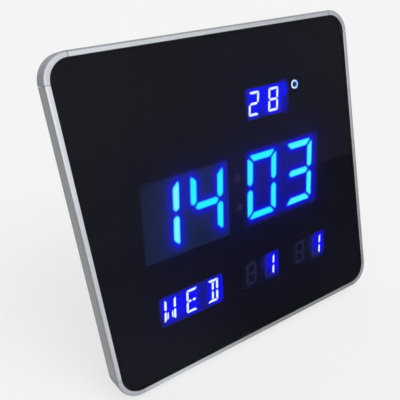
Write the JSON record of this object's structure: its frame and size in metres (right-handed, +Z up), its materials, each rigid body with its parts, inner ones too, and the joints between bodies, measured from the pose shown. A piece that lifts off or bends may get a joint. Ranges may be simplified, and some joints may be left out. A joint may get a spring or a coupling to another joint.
{
  "type": "digital led clock",
  "caption": "Square digital LED clock with a smoked lens in a slim silver frame, glowing time, date and temperature digits, rear controls and a fold-out leg.",
  "frame": {"origin": "middle of the bounding box at desk level, under the clock standing on its leg", "axes": "+X to the right seen from the front, +Y to the back, +Z up; the face looks along -Y and leans back by 17 degrees"},
  "size_m": [0.284, 0.1062, 0.2657],
  "materials": {
    "satin_aluminium": "satin, brushed along the rails",
    "cast_corner": "silver, fine bead-blasted die casting",
    "smoked_lens": "smoked acrylic, polished",
    "diffuser_film": "clear film with a diffusing skin",
    "black_mask": "black, fine texture",
    "module_case": "dark blue-grey display face",
    "lit_cyan": "glowing diffuser",
    "lit_white": "glowing diffuser",
    "unlit_diffuser": "unlit diffuser",
    "circuit_board": "solder mask",
    "black_abs": "moulded, fine texture",
    "button_plastic": "moulded, satin",
    "screw_steel": "black zinc",
    "bright_steel": "nickel plated",
    "black_rubber": "soft, matt",
    "chip_epoxy": "moulded epoxy",
    "brass_pin": "plated"
  },
  "bodies": {
    "clock_body": {"rail_top": "satin_aluminium", "rail_bottom": "satin_aluminium", "rail_left": "satin_aluminium", "rail_right": "satin_aluminium", "corner_top_left": "cast_corner", "corner_top_right": "cast_corner", "corner_bottom_left": "cast_corner", "corner_bottom_right": "cast_corner", "front_lens": "smoked_lens", "diffuser_film": "diffuser_film", "display_mask": "black_mask", "degree_ring": "lit_white", "colon_lamps": "unlit_diffuser", "display_board": "circuit_board", "rear_cover": "black_abs", "cover_screws": "screw_steel", "board_screws": "bright_steel", "tact_switches": "chip_epoxy", "dc_jack": "black_abs", "dc_jack_pin": "brass_pin", "dc_jack_nut": "bright_steel", "coin_cell_holder": "chip_epoxy", "coin_cell": "bright_steel", "buzzer": "chip_epoxy", "microcontroller": "chip_epoxy", "driver_chips": "chip_epoxy", "crystal": "bright_steel", "capacitors": "bright_steel", "temperature_sensor": "chip_epoxy", "stand_pin": "bright_steel", "rubber_feet": "black_rubber", "wall_bumpers": "black_rubber", "hours_module": "module_case", "hours_lit_segments": "lit_cyan", "hours_unlit_segments": "unlit_diffuser", "minutes_module": "module_case", "minutes_lit_segments": "lit_cyan", "minutes_unlit_segments": "unlit_diffuser", "temperature_module": "module_case", "temperature_lit_segments": "lit_white", "temperature_unlit_segments": "unlit_diffuser", "month_module": "module_case", "month_lit_segments": "lit_white", "month_unlit_segments": "unlit_diffuser", "day_module": "module_case", "day_lit_segments": "lit_white", "day_unlit_segments": "unlit_diffuser", "weekday_module": "module_case", "weekday_lit_segments": "lit_white", "weekday_unlit_segments": "unlit_diffuser"},
    "stand": {"stand_leg": "black_abs", "stand_foot": "black_rubber"},
    "battery_door": {"battery_door": "black_abs"},
    "button_set": {"button_set": "button_plastic"},
    "button_up": {"button_up": "button_plastic"},
    "button_down": {"button_down": "button_plastic"},
    "button_mode": {"button_mode": "button_plastic"}
  },
  "joints": [
    {"name": "stand_fold", "type": "hinge", "parent": "clock_body", "child": "stand", "pos_m": [0, 0.01244, 0.14274], "axis": [1, 0, 0], "range_deg": [-32, 0]},
    {"name": "battery_door_slide", "type": "slide", "parent": "clock_body", "child": "battery_door", "axis": [1, 0, 0], "range_m": [0, 0.028]},
    {"name": "button_set_press", "type": "slide", "parent": "clock_body", "child": "button_set", "axis": [0, -0.9561, 0.293], "range_m": [0, 0.0005], "stiffness_N_per_m": 400, "springref_m": -0.0005},
    {"name": "button_up_press", "type": "slide", "parent": "clock_body", "child": "button_up", "axis": [0, -0.9561, 0.293], "range_m": [0, 0.0005], "stiffness_N_per_m": 400, "springref_m": -0.0005},
    {"name": "button_down_press", "type": "slide", "parent": "clock_body", "child": "button_down", "axis": [0, -0.9561, 0.293], "range_m": [0, 0.0005], "stiffness_N_per_m": 400, "springref_m": -0.0005},
    {"name": "button_mode_press", "type": "slide", "parent": "clock_body", "child": "button_mode", "axis": [0, -0.9561, 0.293], "range_m": [0, 0.0005], "stiffness_N_per_m": 400, "springref_m": -0.0005}
  ]
}
